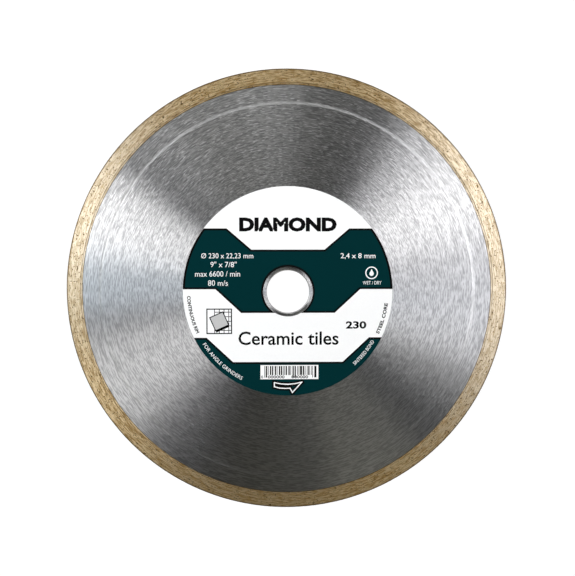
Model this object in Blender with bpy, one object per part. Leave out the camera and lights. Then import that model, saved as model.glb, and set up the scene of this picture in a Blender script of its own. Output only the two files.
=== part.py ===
"""Diamond blade with a continuous rim, for cutting tiles: 230 mm across, on a 22.23 mm bore.

The blade lies flat with its labelled face up. It spins about +Z, and the origin is on that axis, half-way
through the blade. Lengths are in metres.
"""

import math

import bmesh
import bpy

MM = 0.001

# Driving dimensions
BLADE_RADIUS = 115.0 * MM
BORE_RADIUS = 22.23 / 2 * MM
CORE_THICKNESS = 1.8 * MM
RIM_THICKNESS = 2.4 * MM
BACKING_THICKNESS = 2.2 * MM

# Radial heights of the two sintered rings
DIAMOND_HEIGHT = 7.3 * MM
BACKING_HEIGHT = 1.0 * MM

# The core's edge is thinned to a tongue, and the backing ring is pressed around it
TONGUE_THICKNESS = 1.0 * MM
TONGUE_HEIGHT = 0.5 * MM

LABEL_RADIUS = 109.7 / 2 * MM
LABEL_HOLE_RADIUS = 26.1 / 2 * MM
LABEL_THICKNESS = 0.12 * MM

BORE_CHAMFER = 0.4 * MM
RIM_BEVEL = 0.3 * MM
BOND_GAP = 0.05 * MM
ADHESIVE_GAP = 0.03 * MM

SEGMENTS = 128
SMOOTH_ANGLE = math.radians(30)

CORE_RADIUS = BLADE_RADIUS - DIAMOND_HEIGHT - BACKING_HEIGHT
BACKING_RADIUS = BLADE_RADIUS - DIAMOND_HEIGHT


def clear_scene():
    for thing in list(bpy.data.objects):
        bpy.data.objects.remove(thing)


def make_material(name, colour, roughness, metallic):
    material = bpy.data.materials.new(name)
    material.use_nodes = True
    shader = material.node_tree.nodes["Principled BSDF"]
    shader.inputs["Base Color"].default_value = (*colour, 1.0)
    shader.inputs["Roughness"].default_value = roughness
    shader.inputs["Metallic"].default_value = metallic
    return material


def mirrored(upper):
    """A ring's whole outline, from the half above the mid-plane."""
    return upper + [(radius, -height) for radius, height in reversed(upper)]


def turn_ring(name, outline, material, parent):
    """Turns a closed outline of (radius, height) points once around +Z."""
    shape = bmesh.new()
    corners = [shape.verts.new((radius, 0.0, height)) for radius, height in outline]
    sides = [shape.edges.new(pair) for pair in zip(corners, corners[1:] + corners[:1])]
    bmesh.ops.spin(
        shape,
        geom=corners + sides,
        cent=(0.0, 0.0, 0.0),
        axis=(0.0, 0.0, 1.0),
        angle=math.tau,
        steps=SEGMENTS,
        use_merge=True,
    )
    bmesh.ops.recalc_face_normals(shape, faces=shape.faces)
    mesh = bpy.data.meshes.new(name)
    shape.to_mesh(mesh)
    shape.free()
    mesh.materials.append(material)
    mesh.shade_smooth()
    mesh.set_sharp_from_angle(angle=SMOOTH_ANGLE)
    ring = bpy.data.objects.new(name, mesh)
    ring.parent = parent
    bpy.context.scene.collection.objects.link(ring)
    return ring


def make_steel_core(parent):
    face = CORE_THICKNESS / 2
    tongue = TONGUE_THICKNESS / 2
    steel = make_material("brushed_steel", (0.56, 0.56, 0.57), 0.32, 1.0)
    upper = [
        (BORE_RADIUS, face - BORE_CHAMFER),
        (BORE_RADIUS + BORE_CHAMFER, face),
        (CORE_RADIUS, face),
        (CORE_RADIUS, tongue),
        (CORE_RADIUS + TONGUE_HEIGHT, tongue),
    ]
    return turn_ring("steel_core", mirrored(upper), steel, parent)


def make_backing_ring(parent):
    face = BACKING_THICKNESS / 2
    groove = TONGUE_THICKNESS / 2 + BOND_GAP
    inside = CORE_RADIUS + BOND_GAP
    bond = make_material("backing_bronze", (0.78, 0.62, 0.40), 0.38, 1.0)
    upper = [
        (inside + TONGUE_HEIGHT, groove),
        (inside, groove),
        (inside, face),
        (BACKING_RADIUS, face),
    ]
    return turn_ring("backing_ring", mirrored(upper), bond, parent)


def make_diamond_rim(parent):
    face = RIM_THICKNESS / 2
    grit = make_material("diamond_bronze", (0.66, 0.50, 0.30), 0.48, 1.0)
    upper = [
        (BACKING_RADIUS + BOND_GAP, face),
        (BLADE_RADIUS - RIM_BEVEL, face),
        (BLADE_RADIUS, face - RIM_BEVEL),
    ]
    return turn_ring("diamond_rim", mirrored(upper), grit, parent)


def make_front_label(parent):
    paper = make_material("printed_label", (0.86, 0.87, 0.86), 0.42, 0.0)
    outline = [
        (LABEL_HOLE_RADIUS, 0.0),
        (LABEL_HOLE_RADIUS, LABEL_THICKNESS),
        (LABEL_RADIUS, LABEL_THICKNESS),
        (LABEL_RADIUS, 0.0),
    ]
    label = turn_ring("front_label", outline, paper, parent)
    label.location.z = CORE_THICKNESS / 2 + ADHESIVE_GAP
    return label


def main():
    clear_scene()
    blade = bpy.data.objects.new("blade", None)
    bpy.context.scene.collection.objects.link(blade)
    make_steel_core(blade)
    make_backing_ring(blade)
    make_diamond_rim(blade)
    make_front_label(blade)


main()
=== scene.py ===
"""The looks of a continuous-rim diamond blade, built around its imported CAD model.

The blade lies flat with its labelled face up: +Z is its spin axis and +Y is the top of the label's print.
Lengths are in metres, except on the label, whose artwork is laid out in millimetres."""

import math

import bpy
import numpy as np
from mathutils import Matrix, Vector
from mathutils.geometry import delaunay_2d_cdt


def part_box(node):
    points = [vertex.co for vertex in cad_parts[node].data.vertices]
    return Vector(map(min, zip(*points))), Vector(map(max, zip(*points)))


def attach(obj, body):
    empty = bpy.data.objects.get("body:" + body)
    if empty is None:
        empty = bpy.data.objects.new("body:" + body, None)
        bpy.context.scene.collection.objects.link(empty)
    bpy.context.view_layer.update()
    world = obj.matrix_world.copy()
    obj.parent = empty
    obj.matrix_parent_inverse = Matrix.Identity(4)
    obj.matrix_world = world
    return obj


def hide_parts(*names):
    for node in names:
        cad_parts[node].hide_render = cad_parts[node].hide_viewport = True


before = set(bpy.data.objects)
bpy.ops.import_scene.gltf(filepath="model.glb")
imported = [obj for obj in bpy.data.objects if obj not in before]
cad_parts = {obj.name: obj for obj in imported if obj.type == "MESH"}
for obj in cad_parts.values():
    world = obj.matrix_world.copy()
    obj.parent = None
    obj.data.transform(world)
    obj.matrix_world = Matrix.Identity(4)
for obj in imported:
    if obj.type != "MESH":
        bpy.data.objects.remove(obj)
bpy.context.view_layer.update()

MM = 0.001

# Sizes read from the frame
BLADE_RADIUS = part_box("diamond_rim")[1][0]
RIM_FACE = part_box("diamond_rim")[1][2]
BACKING_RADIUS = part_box("backing_ring")[1][0]
BACKING_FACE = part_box("backing_ring")[1][2]
TONGUE_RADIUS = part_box("steel_core")[1][0]
CORE_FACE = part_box("steel_core")[1][2]
LABEL_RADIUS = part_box("front_label")[1][0]
LABEL_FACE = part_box("front_label")[1][2]
LABEL_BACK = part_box("front_label")[0][2]

# Sizes that the boxes don't give
BORE_RADIUS = 22.23 / 2 * MM
BORE_CHAMFER = 0.5 * MM
LABEL_HOLE_RADIUS = 26.1 / 2 * MM
TONGUE_HALF = 0.5 * MM
TONGUE_HEIGHT = 0.5 * MM
BOND_GAP = 0.05 * MM
RIM_BEVEL = 0.3 * MM
CORE_RADIUS = TONGUE_RADIUS - TONGUE_HEIGHT

# The core and the backing ring have rounded corners, and the ring's face falls a little towards the core.
# A corner is rounded in a few steps, and the flat margins beside it are a share of its size.
CORE_ROUNDING = 0.06 * MM
BACKING_ROUNDING = 0.04 * MM
BACKING_FALL = 0.05 * MM
CORNER_STEPS = 3
CORNER_MARGIN = 0.4

# The tensioning roller leaves a shallow track in each face of the core. Its rows of points reach a little
# onto the flat face at each side.
TRACK_RADIUS = 97.7 * MM
TRACK_HALF_WIDTH = 0.75 * MM
TRACK_DEPTH = 0.03 * MM
TRACK_REACH = 1.4 * TRACK_HALF_WIDTH
TRACK_ROWS = 9

# A fine step runs between the backing ring and the bond
SEAM_WIDTH = 0.3 * MM
SEAM_DEPTH = 0.22 * MM
LIP_WIDTH = 0.06 * MM
LIP_DEPTH = 0.04 * MM

# The rows of points across the bond: where they start and stop, and how many there are
FACE_START = 0.7 * MM
FACE_STOP = 0.15 * MM
FACE_ROWS = 16
BEVEL_ROWS = 5
EDGE_START = 0.2 * MM
EDGE_STOP = 0.1 * MM
EDGE_ROWS = 3

# The bond's unevenness: shallow waves on its faces, and waves that make its outer edge ragged. Each is the
# sum of a count of waves, which have between COARSEST_WAVE and finest crests round the ring and slant by
# some radians in each metre across it. The raggedness starts RAGGED_REACH bevels from the outer edge.
FACE_WAVES = {"count": 14, "seed": 3, "finest": 260}
EDGE_WAVES = {"count": 12, "seed": 8, "finest": 420}
COARSEST_WAVE = 2
WAVE_SLANTS = (300, 2500)
FACE_WAVINESS = 0.012
EDGE_WAVINESS = 0.03
EDGE_RAGGEDNESS = 0.03 * MM
RAGGED_REACH = 1.6

# The bond is ground a little below the tips of the diamond crystals, which the grinding flattens too
GRIT_PROUD = 0.05 * MM
LEAST_PROUD = 0.1
GRIT_FLATNESS = 0.25

# Each size of grit: name, crystals on each face, crystals on the edge, smallest, largest, seed
GRITS = (
    ("coarse_grit", 700, 250, 0.6 * MM, 0.95 * MM, 11),
    ("fine_grit", 2200, 700, 0.2 * MM, 0.38 * MM, 12),
)

# Steps round the axis, and the angles past which an edge is sharp
SEGMENTS = 720
RIM_SEGMENTS = 1440
SMOOTH_ANGLE = math.radians(35)
CRYSTAL_ANGLE = math.radians(20)

# The corners of a crystal's face reach equally far, but for rounding
SAME_REACH = 1e-6


# ---------------------------------------------------------------- meshes


def mesh_object(name, points, faces, sharp_angle=SMOOTH_ANGLE):
    """A new mesh object, smooth but for edges sharper than an angle."""
    mesh = bpy.data.meshes.new(name)
    mesh.from_pydata(points, [], faces)
    mesh.update()
    mesh.shade_smooth()
    mesh.set_sharp_from_angle(angle=sharp_angle)
    piece = bpy.data.objects.new(name, mesh)
    bpy.context.scene.collection.objects.link(piece)
    return piece


def mirrored(upper):
    """A ring's whole outline, from the half above the mid-plane."""
    return upper + [(radius, -height) for radius, height in reversed(upper)]


def turned(name, outline, segments, relief=None):
    """A closed ring turned round +Z from a closed outline of (radius, height) points, clockwise seen from
    the side with the axis on the left. relief(angle, radius, height) returns moved radii and heights."""
    radius, height = np.array(outline).T
    angle = np.arange(segments) * math.tau / segments
    angle, radius = np.meshgrid(angle, radius, indexing="ij")
    height = np.broadcast_to(height, radius.shape)
    if relief:
        radius, height = relief(angle, radius, height)
    points = np.stack([radius * np.cos(angle), radius * np.sin(angle), height], axis=-1)
    rows = len(outline)
    index = np.arange(segments * rows).reshape(segments, rows)
    ahead = np.roll(index, -1, axis=0)
    quads = np.stack([index, np.roll(index, -1, axis=1), np.roll(ahead, -1, axis=1), ahead], axis=-1)
    return mesh_object(name, points.reshape(-1, 3), quads.reshape(-1, 4)[:, ::-1].tolist())


def rounded_corner(before, corner, after, size):
    """Points of a small arc-like curve that replaces a corner, with a flat margin kept on each side."""
    before, corner, after = (np.array(point) for point in (before, corner, after))
    first = corner + (before - corner) / np.linalg.norm(before - corner) * size
    last = corner + (after - corner) / np.linalg.norm(after - corner) * size
    share = np.linspace(0, 1, CORNER_STEPS + 1)[:, None]
    curve = (1 - share) ** 2 * first + 2 * share * (1 - share) * corner + share**2 * last
    start = first + (first - corner) * CORNER_MARGIN
    stop = last + (last - corner) * CORNER_MARGIN
    return [start.tolist(), *curve.tolist(), stop.tolist()]


def rounded(outline, size):
    """The outline with each corner rounded to this size."""
    points = []
    for i, corner in enumerate(outline):
        before, after = outline[i - 1], outline[(i + 1) % len(outline)]
        points += rounded_corner(before, corner, after, size)
    return points


def track_rows():
    """The roller track across the face, as (radius, height) points from the inside outwards."""
    share = np.linspace(-1, 1, TRACK_ROWS)
    dip = TRACK_DEPTH * (0.5 + 0.5 * np.cos(share * math.pi))
    rows = [(TRACK_RADIUS + s * TRACK_HALF_WIDTH, CORE_FACE - d) for s, d in zip(share, dip)]
    return [(TRACK_RADIUS - TRACK_REACH, CORE_FACE), *rows, (TRACK_RADIUS + TRACK_REACH, CORE_FACE)]


def make_core():
    """The steel disc. Its second material is for the roller tracks."""
    upper = [
        (BORE_RADIUS, CORE_FACE - BORE_CHAMFER),
        (BORE_RADIUS + BORE_CHAMFER, CORE_FACE),
        (CORE_RADIUS, CORE_FACE),
        (CORE_RADIUS, TONGUE_HALF),
        (TONGUE_RADIUS, TONGUE_HALF),
    ]
    outline = rounded(mirrored(upper), CORE_ROUNDING)
    upper = outline[: len(outline) // 2]
    past_track = next(i for i, point in enumerate(upper) if point[0] > TRACK_RADIUS)
    upper = upper[:past_track] + track_rows() + upper[past_track:]
    core = turned("core_disc", mirrored(upper), SEGMENTS)
    for face in core.data.polygons:
        from_track = abs(math.hypot(*face.center[:2]) - TRACK_RADIUS)
        face.material_index = 1 if from_track < TRACK_HALF_WIDTH else 0
    return core


def make_backing():
    """The bond without diamond, grooved on its inside for the core's tongue."""
    inside = CORE_RADIUS + BOND_GAP
    groove = TONGUE_HALF + BOND_GAP
    upper = [
        (inside + TONGUE_HEIGHT, groove),
        (inside, groove),
        (inside, BACKING_FACE - BACKING_FALL),
        (BACKING_RADIUS - SEAM_WIDTH / 2, BACKING_FACE),
        (BACKING_RADIUS, BACKING_FACE - SEAM_DEPTH),
    ]
    return turned("backing_band", rounded(mirrored(upper), BACKING_ROUNDING), SEGMENTS)


def waves(angle, across, count, seed, finest):
    """Smooth repeatable unevenness round a ring, about -1 to 1: a sum of waves that close on themselves."""
    draw = np.random.default_rng(seed)
    total = 0.0
    for _ in range(count):
        turns = draw.integers(COARSEST_WAVE, finest)
        slant = draw.uniform(*WAVE_SLANTS)
        phase = draw.uniform(0, math.tau)
        total = total + np.sin(angle * turns + across * slant + phase)
    return total / math.sqrt(count)


def rim_relief(angle, radius, height):
    """Moves the bond's points by its unevenness."""
    from_edge = (BLADE_RADIUS - radius) / RIM_BEVEL
    near_edge = np.clip(RAGGED_REACH - from_edge, 0, 1)
    uneven = np.abs(waves(angle, radius + height, **FACE_WAVES))
    ragged = np.abs(waves(angle, height, **EDGE_WAVES))
    height = height * (1 - FACE_WAVINESS * uneven - near_edge * EDGE_WAVINESS * ragged)
    radius = radius - near_edge * EDGE_RAGGEDNESS * ragged
    return radius, height


def make_rim():
    """The bond that holds the diamond, from the seam across each face to the bevel and the outer edge."""
    face = RIM_FACE - GRIT_PROUD
    outside = BLADE_RADIUS - GRIT_PROUD
    inside = BACKING_RADIUS + BOND_GAP
    across = [inside + SEAM_WIDTH / 2, inside + SEAM_WIDTH]
    across += np.linspace(inside + FACE_START, outside - RIM_BEVEL - FACE_STOP, FACE_ROWS).tolist()
    upper = [(inside, face - SEAM_DEPTH), (inside + LIP_WIDTH, face - LIP_DEPTH)]
    upper += [(radius, face) for radius in across]
    upper += [
        (outside - RIM_BEVEL * (1 - math.sin(turn)), face - RIM_BEVEL * (1 - math.cos(turn)))
        for turn in np.linspace(0, math.pi / 2, BEVEL_ROWS)
    ]
    heights = np.linspace(face - RIM_BEVEL - EDGE_START, EDGE_STOP, EDGE_ROWS)
    upper += [(outside, height) for height in heights]
    return turned("rim_bond", mirrored(upper), RIM_SEGMENTS, rim_relief)


def crystal_shape():
    """The points and faces of a cuboctahedron of radius 1, the blocky shape of synthetic diamond."""
    points = [(a, b, 0) for a in (-1, 1) for b in (-1, 1)]
    points += [(a, 0, b) for a in (-1, 1) for b in (-1, 1)]
    points += [(0, a, b) for a in (-1, 1) for b in (-1, 1)]
    points = np.array(points, float) / math.sqrt(2)
    squares = [np.eye(3)[axis] * side for axis in range(3) for side in (-1, 1)]
    corners = np.array(np.meshgrid((-1, 1), (-1, 1), (-1, 1))).T.reshape(-1, 3) / math.sqrt(3)
    return points, [face_round(points, outward) for outward in [*squares, *corners]]


def face_round(points, outward):
    """The points furthest along outward, in order round it, so that the face looks that way."""
    reach = points @ outward
    chosen = np.flatnonzero(reach > reach.max() - SAME_REACH)
    side = points[chosen[0]] - outward * reach.max()
    other = np.cross(outward, side)
    turn = np.arctan2(points[chosen] @ other, points[chosen] @ side)
    return chosen[np.argsort(turn)].tolist()


def random_turns(draw, count):
    """Random rotation matrices."""
    quaternion = draw.normal(size=(count, 4))
    quaternion /= np.linalg.norm(quaternion, axis=1, keepdims=True)
    w, x, y, z = quaternion.T
    rows = [
        [1 - 2 * (y * y + z * z), 2 * (x * y - z * w), 2 * (x * z + y * w)],
        [2 * (x * y + z * w), 1 - 2 * (x * x + z * z), 2 * (y * z - x * w)],
        [2 * (x * z - y * w), 2 * (y * z + x * w), 1 - 2 * (x * x + y * y)],
    ]
    return np.array(rows).transpose(2, 0, 1)


def crystals(name, places, outward, sizes, draw):
    """One mesh of crystals ground nearly flush with the bond, so that they are flattened along outward."""
    points, faces = crystal_shape()
    shapes = np.einsum("nij,pj->npi", random_turns(draw, len(places)), points)
    shapes *= sizes[:, None, None]
    along = np.einsum("npi,ni->np", shapes, outward)
    shapes -= (1 - GRIT_FLATNESS) * along[..., None] * outward[:, None]
    reach = GRIT_FLATNESS * along.max(axis=1)
    tops = draw.uniform(LEAST_PROUD, 1.0, len(places)) * GRIT_PROUD
    centres = places + outward * (tops - reach)[:, None]
    all_points = (shapes + centres[:, None]).reshape(-1, 3)
    starts = range(0, len(all_points), len(points))
    all_faces = [[start + corner for corner in face] for start in starts for face in faces]
    return mesh_object(name, all_points, all_faces, CRYSTAL_ANGLE)


def rim_places(draw, per_face, on_edge, reach):
    """Random places on the bond's two faces and its outer edge, with the direction each one faces.
    A crystal that reaches this far to its sides stays within the bond's bevels there."""
    inner = BACKING_RADIUS + SEAM_WIDTH + reach
    outer = BLADE_RADIUS - RIM_BEVEL - reach
    places, outward = [], []
    for side in (1, -1):
        radius = np.sqrt(draw.uniform(inner**2, outer**2, per_face))
        angle = draw.uniform(0, math.tau, per_face)
        height = np.full(per_face, side * (RIM_FACE - GRIT_PROUD))
        places.append(np.stack([radius * np.cos(angle), radius * np.sin(angle), height], axis=1))
        outward.append(np.tile((0.0, 0.0, side), (per_face, 1)))
    angle = draw.uniform(0, math.tau, on_edge)
    radial = np.stack([np.cos(angle), np.sin(angle), np.zeros(on_edge)], axis=1)
    height = draw.uniform(-1, 1, on_edge) * (RIM_FACE - RIM_BEVEL - reach)
    places.append(radial * (BLADE_RADIUS - GRIT_PROUD) + np.outer(height, (0.0, 0.0, 1.0)))
    outward.append(radial)
    return np.concatenate(places), np.concatenate(outward)


def make_grit(name, per_face, on_edge, smallest, largest, seed):
    """One size of grit, scattered over the bond."""
    draw = np.random.default_rng(seed)
    places, outward = rim_places(draw, per_face, on_edge, largest / 2)
    sizes = draw.uniform(smallest, largest, len(places)) / 2
    return crystals(name, places, outward, sizes, draw)


# ---------------------------------------------------------------- the label's artwork, in millimetres

WHITE, BLACK, GREEN, GREY = range(4)
LABEL_R = LABEL_RADIUS / MM
HOLE_R = LABEL_HOLE_RADIUS / MM

# The black lines along the bands and the label's rim, and a distance that is past the label
LINE = 1.0
RIM_LINE = 1.1
BEYOND = 70.0

# How finely circles and letters are drawn, and how near two points of the artwork become one
CIRCLE_SIDES = 360
LETTER_STEPS = 3
CUT_MERGE = 1e-4

# Each band edge runs level from the label's rim, slopes down to a lower level stretch, and is symmetrical:
# (half-width of the lower stretch, its height, half-width at the upper one, its height)
BAND_TOP = (19.1, 21.95, 31.9, 32.95)
BAND_BOTTOM = (24.5, -11.15, 37.9, 1.3)
FOOT_TOP = (28.8, -37.05, 42.6, -24.15)

# Each level line of print: ink, words, added weight, left, bottom, right, top
LEVEL_PRINT = (
    (BLACK, "DIAMOND", 0.055, -25.4, 31.3, 25.4, 38.7),
    (WHITE, "Ø 230 x 22,23 mm", 0.0, -45.2, 17.0, -18.1, 20.1),
    (WHITE, '9" x 7/8"', 0.0, -40.4, 12.8, -26.8, 15.7),
    (WHITE, "max 6600 / min", 0.0, -48.4, 7.9, -25.0, 10.8),
    (WHITE, "80 m/s", 0.0, -41.7, 3.1, -31.4, 6.0),
    (WHITE, "2,4 x 8 mm", 0.006, 27.5, 17.0, 45.8, 20.1),
    (WHITE, "WET / DRY", 0.0, 39.2, 3.7, 49.0, 5.5),
    (BLACK, "230", 0.035, 30.4, -19.6, 41.2, -15.6),
    (BLACK, "Ceramic tiles", 0.014, -26.0, -28.1, 26.6, -20.9),
)

# Each line of print round the label's edge: ink, words, added weight, radius, clockwise angle, height, width
BENT_PRINT = (
    (BLACK, "CONTINUOUS RIM", 0.04, 52.8, 256.5, 1.9, 20.5),
    (BLACK, "STEEL CORE", 0.04, 52.9, 106, 1.9, 17.0),
    (WHITE, "FOR ANGLE GRINDERS", 0.0, 52.6, 223, 1.9, 28.0),
    (WHITE, "SINTERED BOND", 0.0, 52.6, 129, 1.9, 16.2),
)

# The noughts under the bars: their weight, the heights above the box's foot of their feet and their tops,
# and each group's left and right.
NOUGHT_WEIGHT = 0.02
NOUGHT_FOOT, NOUGHT_TOP = 0.4, 2.0
NOUGHTS = (("0", -14.1, -13.1), ("000000", -10.6, -1.8), ("000000", 1.8, 10.6))


def closed_edges(points):
    """The sides of a closed polygon, as an array of point pairs."""
    points = np.array(points, float)
    return np.stack([points, np.roll(points, -1, axis=0)], axis=1)


def circle_edges(radius, sides=CIRCLE_SIDES):
    """The sides of a circle round the axis."""
    angle = np.arange(sides) * math.tau / sides
    return closed_edges(np.stack([np.cos(angle), np.sin(angle)], axis=1) * radius)


def box_edges(left, bottom, right, top):
    """The sides of a box."""
    return closed_edges([(left, bottom), (right, bottom), (right, top), (left, top)])


def band_edge(shape, down=0.0):
    """The points of a band's edge from left to right, moved down by a distance measured square to it."""
    low_half, low, high_half, high = shape
    slope = math.atan2(high - low, high_half - low_half)
    shift = down * math.tan(slope / 2)
    right = [(low_half + shift, low - down), (high_half + shift, high - down), (BEYOND, high - down)]
    return [(-x, y) for x, y in reversed(right)] + right


def band(top, bottom, inset=0.0):
    """The outline of a band between two edges, drawn in from both by a distance."""
    return closed_edges(band_edge(top, inset) + band_edge(bottom, -inset)[::-1])


def foot(top, inset=0.0):
    """The outline of the label's foot, drawn in from its top edge by a distance."""
    return closed_edges(band_edge(top, inset) + [(BEYOND, -BEYOND), (-BEYOND, -BEYOND)])


def strokes(points, width):
    """Boxes along the sides of a closed polygon, as a list of outlines."""
    outlines = []
    for start, end in closed_edges(points):
        along = (end - start) / np.linalg.norm(end - start) * width / 2
        side = np.array((-along[1], along[0]))
        corners = [start - along - side, end + along - side, end + along + side, start - along + side]
        outlines.append(closed_edges(corners))
    return outlines


def lettering(words, weight):
    """The outline of a line of generic text, as point pairs, about 1 high with its lower left at 0."""
    curve = bpy.data.curves.new("words", "FONT")
    curve.body = words
    curve.offset = weight
    curve.resolution_u = LETTER_STEPS
    writer = bpy.data.objects.new("words", curve)
    mesh = bpy.data.meshes.new_from_object(writer)
    points = np.array([vertex.co[:2] for vertex in mesh.vertices])
    used = {}
    for polygon in mesh.polygons:
        for key in polygon.edge_keys:
            used[key] = used.get(key, 0) + 1
    edges = points[[key for key, count in used.items() if count == 1]]
    bpy.data.objects.remove(writer)
    bpy.data.curves.remove(curve)
    bpy.data.meshes.remove(mesh)
    return edges - edges.reshape(-1, 2).min(axis=0)


def in_box(edges, left, bottom, right, top):
    """Edges stretched to fill a box."""
    low, high = edges.reshape(-1, 2).min(axis=0), edges.reshape(-1, 2).max(axis=0)
    size = np.array((right - left, top - bottom)) / (high - low)
    return (edges - low) * size + (left, bottom)


def on_arc(edges, radius, middle, height, width):
    """Edges bent round the blade's axis at a radius, centred on a clockwise angle from the top, in degrees.
    Their tops point towards the axis."""
    flat = in_box(edges, -width / 2, 0, width / 2, height)
    turn = math.radians(middle) - flat[..., 0] / radius
    out = radius - flat[..., 1]
    return np.stack([np.sin(turn) * out, np.cos(turn) * out], axis=-1)


def tile_symbol():
    """A framed picture of a tilted tile on a tiled wall."""
    left, bottom, right, top = -42.4, -21.9, -29.6, -9.1
    joint, frame_line, tile_line = 0.38, 0.6, 0.6
    wall_left, last_upright = left + 4.0, right - 1.4
    lowest_level, highest_level = bottom + 1.6, top - 1.6
    uprights, levels = 4, 5
    turn, half_tile, face_share = math.radians(24), 3.7, 0.94
    thickness = np.array((0.3, -1.1))
    layers = []
    for x in np.linspace(wall_left, last_upright, uprights):
        layers.append((BLACK, box_edges(x - joint / 2, bottom, x + joint / 2, top)))
    for y in np.linspace(lowest_level, highest_level, levels):
        layers.append((BLACK, box_edges(wall_left, y - joint / 2, right, y + joint / 2)))
    middle = np.array(((left + right) / 2, (bottom + top) / 2))
    across = np.array((math.cos(turn), math.sin(turn))) * half_tile
    up = np.array((-math.sin(turn), math.cos(turn))) * half_tile
    tile = [middle - across - up, middle + across - up, middle + across + up, middle - across + up]
    side = [tile[3], tile[0], tile[0] + thickness, tile[1] + thickness, tile[1], tile[2]]
    layers.append((BLACK, closed_edges(side)))
    layers += [(BLACK, outline) for outline in strokes(tile, tile_line)]
    layers.append((GREY, closed_edges([middle + (corner - middle) * face_share for corner in tile])))
    border = [(left, bottom), (right, bottom), (right, top), (left, top)]
    return layers + [(BLACK, outline) for outline in strokes(border, frame_line)]


def water_symbol():
    """A ring with a drop in it: the blade may be used wet."""
    centre = np.array((43.8, 9.8))
    outer_radius, inner_radius, sides = 3.3, 2.75, 64
    belly_radius, belly_height, tip_height = 1.15, -0.45, 2.05
    belly_start, belly_end, belly_points = math.radians(-35), math.radians(215), 24
    turn = np.linspace(belly_start, belly_end, belly_points)
    belly = np.stack([np.cos(turn), -np.sin(turn)], axis=1) * belly_radius + (0, belly_height)
    drop = np.concatenate([belly, [(0.0, tip_height)]])
    return [
        (WHITE, circle_edges(outer_radius, sides) + centre),
        (GREEN, circle_edges(inner_radius, sides) + centre),
        (WHITE, closed_edges(drop) + centre),
    ]


def bar_code():
    """A white box of bars that follow a plain repeating rule, over a row of noughts."""
    left, bottom, right, top = -14.5, -46.2, 16.0, -38.7
    thin, margin, top_margin = 0.36, 2.1, 0.5
    long_foot, short_foot = bottom + 0.9, bottom + 2.2
    long_bars, last_long = (0, 1, 14, 15), 1.6
    layers = [(WHITE, box_edges(left, bottom, right, top))]
    x, end, count = left + margin, right - margin, 0
    while x < end:
        width = thin * (1 + (count * 5 % 7 > 3) + (count * 3 % 11 > 8))
        foot_height = long_foot if count in long_bars or x > end - last_long else short_foot
        layers.append((BLACK, box_edges(x, foot_height, x + width, top - top_margin)))
        x += width + thin * (1 + (count * 4 % 9 > 5))
        count += 1
    for words, start, stop in NOUGHTS:
        outline = lettering(words, NOUGHT_WEIGHT)
        layers.append((BLACK, in_box(outline, start, bottom + NOUGHT_FOOT, stop, bottom + NOUGHT_TOP)))
    return layers


def turning_arrow():
    """A hollow, slightly bent arrow for the direction of rotation, white over a wider black line."""
    black_line, white_line = 2.3, 0.55
    top = [(-7.2, -48.0), (-3.6, -48.7), (0.0, -48.9), (3.6, -48.6), (7.3, -47.8)]
    head = [(2.3, -53.3), (1.1, -51.0)]
    under = [(-1.5, -51.1), (-4.5, -50.9), (-7.2, -50.2)]
    points = top + head + under
    layers = [(BLACK, side) for side in strokes(points, black_line)]
    return layers + [(WHITE, side) for side in strokes(points, white_line)]


def printed_words():
    """Every line of print, as (ink, edges)."""
    level = [(ink, in_box(lettering(words, weight), *box)) for ink, words, weight, *box in LEVEL_PRINT]
    bent = [(ink, on_arc(lettering(words, weight), *arc)) for ink, words, weight, *arc in BENT_PRINT]
    return level + bent


def artwork():
    """The printed layers in the order they are laid down: (ink, edges, smallest radius, largest radius)."""
    inside, outside = HOLE_R + LINE, LABEL_R - RIM_LINE
    layers = [
        (BLACK, band(BAND_TOP, BAND_BOTTOM), HOLE_R, LABEL_R),
        (BLACK, foot(FOOT_TOP), HOLE_R, LABEL_R),
        (GREEN, band(BAND_TOP, BAND_BOTTOM, LINE), inside, outside),
        (GREEN, foot(FOOT_TOP, LINE), inside, LABEL_R),
    ]
    marks = printed_words() + tile_symbol() + water_symbol() + bar_code() + turning_arrow()
    return layers + [(ink, edges, HOLE_R, LABEL_R) for ink, edges in marks]


def holds(edges, points):
    """Which points lie inside the edges, by counting the sides that a ray to the right crosses."""
    low, high = edges.reshape(-1, 2).min(axis=0), edges.reshape(-1, 2).max(axis=0)
    near = np.flatnonzero(((points >= low) & (points <= high)).all(axis=1))
    inside = np.zeros(len(points), bool)
    if not len(near):
        return inside
    x, y = points[near].T
    (ax, ay), (bx, by) = edges[:, 0].T, edges[:, 1].T
    spans = (ay[None] > y[:, None]) != (by[None] > y[:, None])
    with np.errstate(divide="ignore", invalid="ignore"):
        crossing = ax + (y[:, None] - ay) * (bx - ax) / (by - ay)
    inside[near] = (spans & (crossing > x[:, None])).sum(axis=1) % 2 == 1
    return inside


def printed_face(layers):
    """Cuts the label's face along every printed edge: the points, the triangles and each one's ink."""
    rings = [circle_edges(radius) for radius in (HOLE_R, HOLE_R + LINE, LABEL_R - RIM_LINE, LABEL_R)]
    edges = np.concatenate(rings + [layer[1] for layer in layers])
    corners = [Vector(point) for point in edges.reshape(-1, 2)]
    pairs = [(2 * i, 2 * i + 1) for i in range(len(edges))]
    points, _, triangles, *_ = delaunay_2d_cdt(corners, pairs, [], 0, CUT_MERGE)
    points = np.array([tuple(point) for point in points])
    triangles = np.array([tuple(triangle) for triangle in triangles])
    middle = points[triangles].mean(axis=1)
    radius = np.linalg.norm(middle, axis=1)
    kept = (radius > HOLE_R) & (radius < LABEL_R)
    triangles, middle, radius = triangles[kept], middle[kept], radius[kept]
    ink = np.zeros(len(triangles), int)
    for colour, outline, smallest, largest in layers:
        ink[holds(outline, middle) & (radius > smallest) & (radius < largest)] = colour
    return points, triangles, ink


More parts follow.
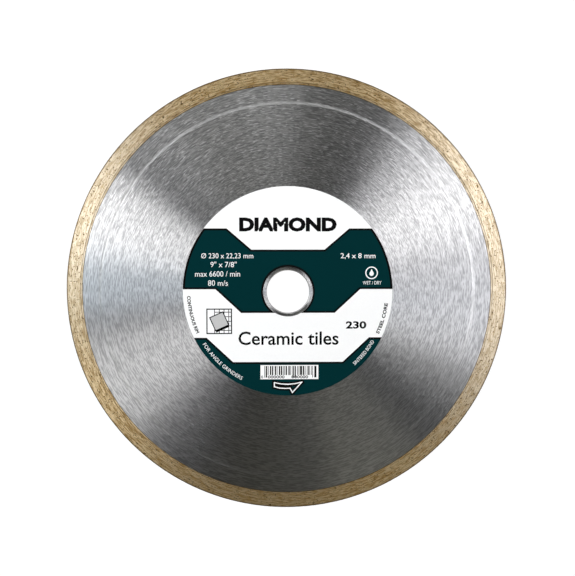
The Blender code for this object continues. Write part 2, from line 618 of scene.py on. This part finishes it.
def make_label():
    """The label as one closed film, with its print as areas of its upper face."""
    points, triangles, ink = printed_face(artwork())
    used, triangles = np.unique(triangles, return_inverse=True)
    triangles = triangles.reshape(-1, 3)
    flat = points[used] * MM
    first, second, third = (flat[triangles[:, corner]] for corner in range(3))
    turn = np.cross(second - first, third - first)
    triangles[turn < 0] = triangles[turn < 0][:, ::-1]
    sides = np.concatenate([triangles[:, [0, 1]], triangles[:, [1, 2]], triangles[:, [2, 0]]])
    there = {tuple(side) for side in sides.tolist()}
    border = [side for side in there if side[::-1] not in there]
    upper = np.column_stack([flat, np.full(len(flat), LABEL_FACE)])
    lower = np.column_stack([flat, np.full(len(flat), LABEL_BACK)])
    count = len(flat)
    faces = triangles.tolist()
    faces += [[b, a, a + count, b + count] for a, b in border]
    faces += (triangles[:, ::-1] + count).tolist()
    label = mesh_object("label_film", np.concatenate([upper, lower]), faces)
    inks = np.concatenate([ink, np.zeros(len(faces) - len(ink), int)])
    label.data.polygons.foreach_set("material_index", inks.astype(np.int32))
    return label


# ---------------------------------------------------------------- materials

# Marks along circles round the axis: how many in each radian, and how many in each metre across them.
# Short marks and long ones are laid over each other, with a share for the short ones.
SHORT_SCRATCHES = (30.0, 2300.0)
LONG_SCRATCHES = (12.0, 2500.0)
NICKS = (26.0, 2800.0)
STRAYS = (40.0, 1500.0)
SHORT_MARKS = (32.0, 2300.0)
LONG_MARKS = (14.0, 2000.0)
FLAWS = (90.0, 1700.0)
SHORT_SCRATCH_SHARE = 0.5
SHORT_MARK_SHARE = 0.6

# The values of a noise between which a mark fades in
SCRATCH_EDGE = (0.42, 0.58)
NICK_EDGE = (0.58, 0.64)
LAND_EDGE = (0.4, 0.6)
FLAW_EDGE = (0.7, 0.76)
MOTTLE_EDGE = (0.35, 0.65)
PEEL_EDGE = (0.3, 0.7)

# The anisotropic shine lies along the grinding at a quarter turn, and each scratch strays a little from it
ALONG_GRINDING = 0.25
STRAY_TURN = 0.06

# Steel: its blue against its red, how much a scratch and a nick change its roughness, between which y the
# nick marks and their painted glints come in, and between which y and x the roller track's painted shade
# gives way to its painted light.
STEEL_BLUE = 1.01
SCRATCH_GLOSS = 0.01
NICK_ROUGHNESS = 0.08
NICK_GLINTS_UP = (-10 * MM, 70 * MM)
TRACK_LIT_UP = (-50 * MM, 20 * MM)
TRACK_LIT_RIGHT = (-84 * MM, -58 * MM)
STEEL_BUMP = 0.014 * MM

# Bronze: the deep colour of its rough bond and of its ground lands, each with a lighter colour for a painted
# sheen, and the colour of its dark flaws and darkened corners. The painted sheen comes in between two
# distances from x = 0 and between two heights of y, which leans by a share of x.
BOND_AND_SHEEN_COLOURS = ((0.32, 0.20, 0.07), (0.48, 0.38, 0.25))
LAND_AND_SHEEN_COLOURS = ((0.69, 0.54, 0.32), (0.70, 0.61, 0.47))
FLAW_AND_DARK_EDGE_COLOUR = (0.112, 0.07, 0.0245)
SHEEN_OUT = (40 * MM, 100 * MM)
SHEEN_UP = (-100 * MM, 10 * MM)
SHEEN_LEAN = 0.25
BOND_METAL, LAND_METAL = 0.9, 1.0
BOND_ROUGHNESS, LAND_ROUGHNESS = 0.5, 0.42
BRONZE_BUMP = 0.02 * MM

# The radii between which the bronze darkens, past which the backing ring's inner corner is painted with shade
# and the rim's outer corner is darker.
BACKING_PAINTED_SHADE = (CORE_RADIUS + BOND_GAP + 0.2 * MM, CORE_RADIUS + BOND_GAP + 0.05 * MM)
RIM_DARK_EDGE = (BLADE_RADIUS - 0.9 * MM, BLADE_RADIUS - 0.4 * MM)

# Diamond crystals: the noise in their tint, and their deep and pale colours
TINT_SCALE = 500.0
DEEP_CRYSTAL = (0.10, 0.06, 0.022)
PALE_CRYSTAL = (0.44, 0.31, 0.13)

# Each ink, in the order of WHITE, BLACK, GREEN and GREY
INKS = (
    ("white_film", (0.90, 0.90, 0.90)),
    ("black_ink", (0.004, 0.004, 0.004)),
    ("green_ink", (0.0006, 0.024, 0.027)),
    ("grey_ink", (0.5, 0.5, 0.5)),
)
INK_ROUGHNESS = 0.55
INK_GLOSS_CHANGE = 0.04
MOTTLE_SCALE = 900.0
MOTTLE_SHADE = 0.985
PEEL_SCALE = 1500.0
PEEL_STRENGTH = 0.05
PEEL_BUMP = 0.01 * MM


def set_inputs(tree, made, inputs):
    """Sets a node's sockets, by name or number, to values or links them to the sockets that feed them."""
    for key, value in inputs.items():
        if isinstance(value, bpy.types.NodeSocket):
            tree.links.new(value, made.inputs[key])
        else:
            made.inputs[key].default_value = value


def node(tree, kind, inputs, **settings):
    """A new node. The settings come first, as an operation or an axis decides which sockets there are."""
    made = tree.nodes.new(kind)
    for key, value in settings.items():
        setattr(made, key, value)
    set_inputs(tree, made, inputs)
    return made


def maths(tree, operation, first, second=0.0):
    """Two numbers taken through an operation."""
    return node(tree, "ShaderNodeMath", {0: first, 1: second}, operation=operation).outputs[0]


def vectors(tree, operation, first, second=(0.0, 0.0, 0.0)):
    """Two vectors taken through an operation that gives a vector."""
    return node(tree, "ShaderNodeVectorMath", {0: first, 1: second}, operation=operation).outputs[0]


def ramped(tree, value, low, high, to_low=0.0, to_high=1.0):
    """value taken from the range low to high to another range, with soft ends, and held there."""
    inputs = {"Value": value, "From Min": low, "From Max": high, "To Min": to_low, "To Max": to_high}
    return node(tree, "ShaderNodeMapRange", inputs, interpolation_type="SMOOTHSTEP").outputs["Result"]


def blended(tree, share, first, second):
    """A colour between two, by a share from 0 to 1."""
    mix = node(tree, "ShaderNodeMix", {}, data_type="RGBA")
    colours = [socket for socket in mix.inputs if socket.type == "RGBA"]
    for socket, value in zip((mix.inputs["Factor"], *colours), (share, first, second)):
        if isinstance(value, bpy.types.NodeSocket):
            tree.links.new(value, socket)
        else:
            socket.default_value = (*value, 1.0)
    return next(socket for socket in mix.outputs if socket.type == "RGBA")


def noise(tree, place, scale=1.0, detail=2.0, roughness=0.6):
    """A noise from 0 to 1, mostly near 0.5."""
    inputs = {"Vector": place, "Scale": scale, "Detail": detail, "Roughness": roughness}
    return node(tree, "ShaderNodeTexNoise", inputs).outputs["Fac"]


def new_material(name):
    """A new material, its node tree and its shader."""
    material = bpy.data.materials.new(name)
    material.use_nodes = True
    tree = material.node_tree
    return material, tree, tree.nodes["Principled BSDF"]


def object_place(tree):
    """Where a point lies on its piece, in metres."""
    return node(tree, "ShaderNodeTexCoord", {}).outputs["Object"]


def coordinates(tree):
    """That place's x, y and z."""
    return node(tree, "ShaderNodeSeparateXYZ", {0: object_place(tree)}).outputs


def axis_distance(tree):
    """How far a point lies from the blade's axis."""
    flat = vectors(tree, "MULTIPLY", object_place(tree), (1.0, 1.0, 0.0))
    return node(tree, "ShaderNodeVectorMath", {0: flat}, operation="LENGTH").outputs["Value"]


def ring_place(tree, around, across):
    """A place for a noise that draws marks along circles round the axis, with no seam: around is how many
    cells they have in each radian, and across how many in each metre of radius or thickness."""
    unit = vectors(tree, "NORMALIZE", vectors(tree, "MULTIPLY", object_place(tree), (1.0, 1.0, 0.0)))
    circle = node(tree, "ShaderNodeVectorMath", {0: unit, "Scale": around}, operation="SCALE").outputs[0]
    distance = maths(tree, "ADD", axis_distance(tree), coordinates(tree)["Z"])
    lift = node(tree, "ShaderNodeCombineXYZ", {"Z": maths(tree, "MULTIPLY", distance, across)}).outputs[0]
    return vectors(tree, "ADD", circle, lift)


def ground_marks(tree, short, long, share):
    """Short and long marks round the axis, laid over each other. share is that of the short ones."""
    short = noise(tree, ring_place(tree, *short), detail=1.0, roughness=0.5)
    long = noise(tree, ring_place(tree, *long), detail=1.0, roughness=0.5)
    return maths(tree, "ADD", maths(tree, "MULTIPLY", short, share), maths(tree, "MULTIPLY", long, 1 - share))


def bumped(tree, height, strength, distance):
    """A normal tilted by the slopes of a height."""
    inputs = {"Height": height, "Strength": strength, "Distance": distance}
    return node(tree, "ShaderNodeBump", inputs).outputs["Normal"]


def round_axis(tree):
    """The tangent of the brushed metals, which follows the grinding round the axis."""
    return node(tree, "ShaderNodeTangent", {}, direction_type="RADIAL", axis="Z").outputs[0]


def ground_look(tree, scratch, shades, roughness):
    """The colour and roughness of ground steel. Each sparse short nick, mostly towards +Y, is rougher than
    the scratches, and its brighter colour is a painted glint. shades are those of the scratches and of the
    nick marks' painted glints."""
    darker, lighter, painted_glint = ((shade, shade, shade * STEEL_BLUE) for shade in shades)
    nicks_and_glints = ramped(tree, noise(tree, ring_place(tree, *NICKS), detail=1.0), *NICK_EDGE)
    # Painted glints: the nick marks' brighter colour stands in for the light that they catch, and is kept
    # towards +Y.
    nicks_and_glints = maths(tree, "MULTIPLY", nicks_and_glints, ramped(tree, coordinates(tree)["Y"], *NICK_GLINTS_UP))
    colour = blended(tree, nicks_and_glints, blended(tree, scratch, darker, lighter), painted_glint)
    gloss = ramped(tree, scratch, 0.0, 1.0, roughness + SCRATCH_GLOSS, roughness - SCRATCH_GLOSS)
    return colour, maths(tree, "ADD", gloss, ramped(tree, nicks_and_glints, 0.0, 1.0, 0.0, NICK_ROUGHNESS))


def track_shade_look(tree, scratch, look, roughness, track_shade):
    """A look of ground steel with this roughness whose colour is painted lighter towards +Y and +X, where a
    roller track catches the light, and fades to a darker painted shade towards -Y and -X, where its roughness
    changes too. track_shade holds the two shades of that painted shade and its roughness."""
    colour, gloss = look
    darker, lighter, shaded_track_roughness = track_shade
    x, y, _ = coordinates(tree)
    # Painted light and shade: the track's lighter colour shows towards +Y and +X, where it catches the light,
    # and fades to a darker one towards -Y and -X.
    track_lit = maths(tree, "MULTIPLY", ramped(tree, y, *TRACK_LIT_UP), ramped(tree, x, *TRACK_LIT_RIGHT))
    plain = blended(tree, scratch, (darker,) * 3, (lighter,) * 3)
    change = ramped(tree, track_lit, 0.0, 1.0, shaded_track_roughness - roughness, 0.0)
    return blended(tree, track_lit, plain, colour), maths(tree, "ADD", gloss, change)


def steel(name, anisotropic, shades, roughness, track_shade=None):
    """Steel ground round the axis, whose fine scratches shift its shade, gloss, tilt and the turn of its
    shine. Given track_shade, its colour fades from painted light towards +Y and +X to a darker painted shade
    towards -Y and -X, and its roughness changes there."""
    material, tree, shader = new_material(name)
    lines = ground_marks(tree, SHORT_SCRATCHES, LONG_SCRATCHES, SHORT_SCRATCH_SHARE)
    scratch = ramped(tree, lines, *SCRATCH_EDGE)
    look = ground_look(tree, scratch, shades, roughness)
    colour, gloss = track_shade_look(tree, scratch, look, roughness, track_shade) if track_shade else look
    stray = maths(tree, "SUBTRACT", noise(tree, ring_place(tree, *STRAYS)), 0.5)
    turn = maths(tree, "ADD", maths(tree, "MULTIPLY", stray, STRAY_TURN), ALONG_GRINDING)
    set_inputs(tree, shader, {
        "Base Color": colour,
        "Metallic": 1.0,
        "Roughness": gloss,
        "Anisotropic": anisotropic,
        "Anisotropic Rotation": turn,
        "Tangent": round_axis(tree),
        "Normal": bumped(tree, lines, 1.0, STEEL_BUMP),
    })
    return material


def bronze(name, anisotropic, dark_edge):
    """Sintered bronze ground round the axis: rough bond between smoother ground lands, and small dark flaws.
    It has a painted sheen, lighter towards X and -X, more so at X, but not at -Y. dark_edge holds the radii
    between which it darkens: painted shade at the backing ring's inner corner, and a darker outer corner on
    the rim."""
    material, tree, shader = new_material(name)
    x, y, _ = coordinates(tree)
    # Painted sheen: the bronze is coloured lighter towards X and -X, more so at X, but not at -Y, as if lit
    # there.
    leaning = maths(tree, "ADD", y, maths(tree, "MULTIPLY", x, SHEEN_LEAN))
    painted_sheen = ramped(tree, maths(tree, "ABSOLUTE", x), *SHEEN_OUT)
    painted_sheen = maths(tree, "MULTIPLY", painted_sheen, ramped(tree, leaning, *SHEEN_UP))
    marks = ground_marks(tree, SHORT_MARKS, LONG_MARKS, SHORT_MARK_SHARE)
    lands = ramped(tree, marks, *LAND_EDGE)
    flaws = ramped(tree, noise(tree, ring_place(tree, *FLAWS), detail=0.0), *FLAW_EDGE)
    # Painted shade at the backing ring's inner corner, where it meets the core; the rim is darker at its
    # outer corner.
    flaws_and_dark_edge = maths(tree, "MAXIMUM", flaws, ramped(tree, axis_distance(tree), *dark_edge))
    bond = blended(tree, painted_sheen, *BOND_AND_SHEEN_COLOURS)
    land = blended(tree, painted_sheen, *LAND_AND_SHEEN_COLOURS)
    colour = blended(tree, lands, bond, land)
    set_inputs(tree, shader, {
        "Base Color": blended(tree, flaws_and_dark_edge, colour, FLAW_AND_DARK_EDGE_COLOUR),
        "Metallic": ramped(tree, lands, 0.0, 1.0, BOND_METAL, LAND_METAL),
        "Roughness": ramped(tree, lands, 0.0, 1.0, BOND_ROUGHNESS, LAND_ROUGHNESS),
        "Anisotropic": anisotropic,
        "Anisotropic Rotation": ALONG_GRINDING,
        "Tangent": round_axis(tree),
        "Normal": bumped(tree, marks, 1.0, BRONZE_BUMP),
    })
    return material


def diamond():
    """Dusty diamond crystals, each tinted a little differently by the bond that still coats them."""
    material, tree, shader = new_material("diamond_crystal")
    tint = noise(tree, object_place(tree), scale=TINT_SCALE, detail=1.0)
    colour = blended(tree, ramped(tree, tint, *MOTTLE_EDGE), DEEP_CRYSTAL, PALE_CRYSTAL)
    set_inputs(tree, shader, {"Base Color": colour, "Metallic": 0.85, "Roughness": 0.45, "IOR": 2.42})
    return material


def printed(name, colour):
    """Printed film: a faint mottle in the ink and a slight orange-peel gloss."""
    material, tree, shader = new_material(name)
    mottle = noise(tree, object_place(tree), scale=MOTTLE_SCALE, detail=3.0)
    deeper = tuple(channel * MOTTLE_SHADE for channel in colour)
    peel = noise(tree, object_place(tree), scale=PEEL_SCALE, detail=1.0)
    glossy, dull = INK_ROUGHNESS - INK_GLOSS_CHANGE, INK_ROUGHNESS + INK_GLOSS_CHANGE
    set_inputs(tree, shader, {
        "Base Color": blended(tree, ramped(tree, mottle, *MOTTLE_EDGE), deeper, colour),
        "Roughness": ramped(tree, peel, *PEEL_EDGE, glossy, dull),
        "Specular IOR Level": 0.01,
        "Normal": bumped(tree, peel, PEEL_STRENGTH, PEEL_BUMP),
    })
    return material


# ---------------------------------------------------------------- the studio

# The floor glows a little, as a lit table does, so that it is white in the camera's view
FLOOR_HALF = 3.0
FLOOR_DUST_SCALE = 6.0
FLOOR_SHADES = ((0.11, 0.11, 0.11), (0.12, 0.12, 0.12))
FLOOR_GLOW = 0.92

# The walls' light is dimmer at -Y, and fades out a little above the horizon
DIM_WALL, BRIGHT_WALL = (0.64, 0.62, 0.55), (0.85, 0.85, 0.85)
WALL_RANGE = (-0.6, 0.1)
WALL_TOP = (0.15, 0.45)

# The camera looks down on the blade, tipped a little towards the print's top left
CAMERA_DISTANCE = 0.400
CAMERA_TILT = math.radians(3.8)
CAMERA_LEAN = Vector((-0.38, 0.925, 0.0))
CAMERA_AIM = Vector((-0.26 * MM, 1.9 * MM, CORE_FACE))
CAMERA_LENS, CAMERA_SENSOR = 47.8, 36.0
NEAREST_SEEN = 0.01

# Each soft box: name, clockwise angle, elevation, distance, width, height, radiance, colour
LAMPS = (
    ("left_box", 288, 48, 0.9, 0.30, 0.5, 6.5, (1.0, 1.0, 1.0)),
    ("left_cool_box", 268, 46, 0.9, 0.24, 0.5, 3.0, (0.79, 0.91, 1.0)),
    ("left_low_box", 237, 50, 0.6, 0.22, 0.34, 1.8, (1.0, 1.0, 0.98)),
    ("left_top_box", 311, 40, 0.6, 0.26, 0.34, 0.85, (0.97, 0.98, 1.0)),
    ("right_box", 69, 62, 0.6, 0.14, 0.34, 1.7, (1.0, 0.99, 0.96)),
    ("right_top_box", 39, 50, 0.6, 0.14, 0.34, 0.5, (1.0, 1.0, 1.0)),
    ("right_wash", 80, 58, 0.9, 0.70, 0.5, 3.0, (0.97, 0.965, 1.0)),
    ("top_wash", 338, 40, 0.5, 0.42, 0.28, 1.3, (1.0, 1.0, 0.99)),
    ("low_right_wash", 154, 32, 0.6, 0.26, 0.28, 0.75, (1.0, 0.98, 0.8)),
    ("low_warm_wash", 182, 36, 0.6, 0.40, 0.28, 0.08, (1.0, 0.9, 0.3)),
    ("top_right_wash", 8, 28, 0.5, 0.34, 0.28, 1.1, (1.0, 1.0, 0.98)),
)


def make_floor():
    """A plain pale floor, level with what the blade rests on."""
    half, level = FLOOR_HALF, -RIM_FACE
    corners = [(-half, -half, level), (half, -half, level), (half, half, level), (-half, half, level)]
    floor = mesh_object("floor", corners, [(0, 1, 2, 3)])
    material, tree, shader = new_material("pale_floor")
    dust = noise(tree, object_place(tree), scale=FLOOR_DUST_SCALE)
    set_inputs(tree, shader, {
        "Base Color": blended(tree, dust, *FLOOR_SHADES),
        "Roughness": 0.9,
        "Emission Color": (1.0, 1.0, 1.0, 1.0),
        "Emission Strength": FLOOR_GLOW,
    })
    floor.data.materials.append(material)


def make_lamp(name, clockwise, elevation, distance, width, height, radiance, colour):
    """A soft box that faces the blade, placed by its clockwise angle from +Y and its elevation, in degrees.
    radiance is the brightness of its surface."""
    turn, rise = math.radians(clockwise), math.radians(elevation)
    towards = Vector((math.sin(turn) * math.cos(rise), math.cos(turn) * math.cos(rise), math.sin(rise)))
    light = bpy.data.lights.new(name, "AREA")
    light.shape = "ELLIPSE"
    light.size = width
    light.size_y = height
    light.energy = radiance * math.pi * width * height
    light.color = colour
    lamp = bpy.data.objects.new(name, light)
    across = Vector((math.cos(turn), -math.sin(turn), 0.0))
    up = towards.cross(across)
    lamp.matrix_world = Matrix((across, up, towards)).transposed().to_4x4()
    lamp.matrix_world.translation = towards * distance
    lamp.visible_camera = False
    bpy.context.scene.collection.objects.link(lamp)


def make_world():
    """A dark studio with pale walls."""
    world = bpy.data.worlds.new("studio")
    world.use_nodes = True
    bpy.context.scene.world = world
    tree = world.node_tree
    place = node(tree, "ShaderNodeTexCoord", {}).outputs["Generated"]
    _, y, rise = node(tree, "ShaderNodeSeparateXYZ", {0: place}).outputs
    walls = blended(tree, ramped(tree, y, *WALL_RANGE), DIM_WALL, BRIGHT_WALL)
    colour = blended(tree, ramped(tree, rise, *WALL_TOP), walls, (0.0, 0.0, 0.0))
    set_inputs(tree, tree.nodes["Background"], {"Color": colour})


def make_camera():
    """The camera, turned so that the print's top is up in its view."""
    lean = CAMERA_LEAN * math.sin(CAMERA_TILT)
    back = (lean + Vector((0.0, 0.0, math.cos(CAMERA_TILT)))).normalized()
    right = Vector((0.0, 1.0, 0.0)).cross(back).normalized()
    up = back.cross(right)
    data = bpy.data.cameras.new("camera")
    data.lens = CAMERA_LENS
    data.sensor_width = CAMERA_SENSOR
    data.clip_start = NEAREST_SEEN
    camera = bpy.data.objects.new("camera", data)
    camera.matrix_world = Matrix((right, up, back)).transposed().to_4x4()
    camera.matrix_world.translation = CAMERA_AIM + back * CAMERA_DISTANCE
    bpy.context.scene.collection.objects.link(camera)
    bpy.context.scene.camera = camera


# ---------------------------------------------------------------- assembly


def dress(piece, slot, materials, *nodes):
    """Gives a piece its materials, hides the CAD nodes that it stands in for, and joins it to the one body.
    slot is not used.
    """
    for material in materials:
        piece.data.materials.append(material)
    if nodes:
        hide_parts(*nodes)
    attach(piece, "root")


def main():
    """The studio, then the blade's pieces."""
    bpy.context.scene.view_settings.view_transform = "Standard"
    make_camera()
    make_world()
    make_floor()
    for lamp in LAMPS:
        make_lamp(*lamp)
    ground = steel("ground_steel", anisotropic=1.0, shades=(0.31, 0.52, 0.80), roughness=0.32)
    # The roller track's darker painted shade towards -Y and -X: its two shades and its roughness.
    track_shade = (0.345, 0.55, 0.33)
    rolled = steel("rolled_steel", anisotropic=0.85, shades=(0.53, 0.69, 0.80), roughness=0.41, track_shade=track_shade)
    dress(make_core(), "brushed_steel", [ground, rolled], "steel_core")
    backing = bronze("backing_bronze_ring", anisotropic=0.75, dark_edge=BACKING_PAINTED_SHADE)
    dress(make_backing(), "backing_bronze", [backing], "backing_ring")
    bond = bronze("diamond_bond", anisotropic=0.7, dark_edge=RIM_DARK_EDGE)
    dress(make_rim(), "diamond_bronze", [bond], "diamond_rim")
    crystal = diamond()
    for grit in GRITS:
        dress(make_grit(*grit), "diamond_bronze", [crystal])
    inks = [printed(*ink) for ink in INKS]
    dress(make_label(), "printed_label", inks, "front_label")


main()
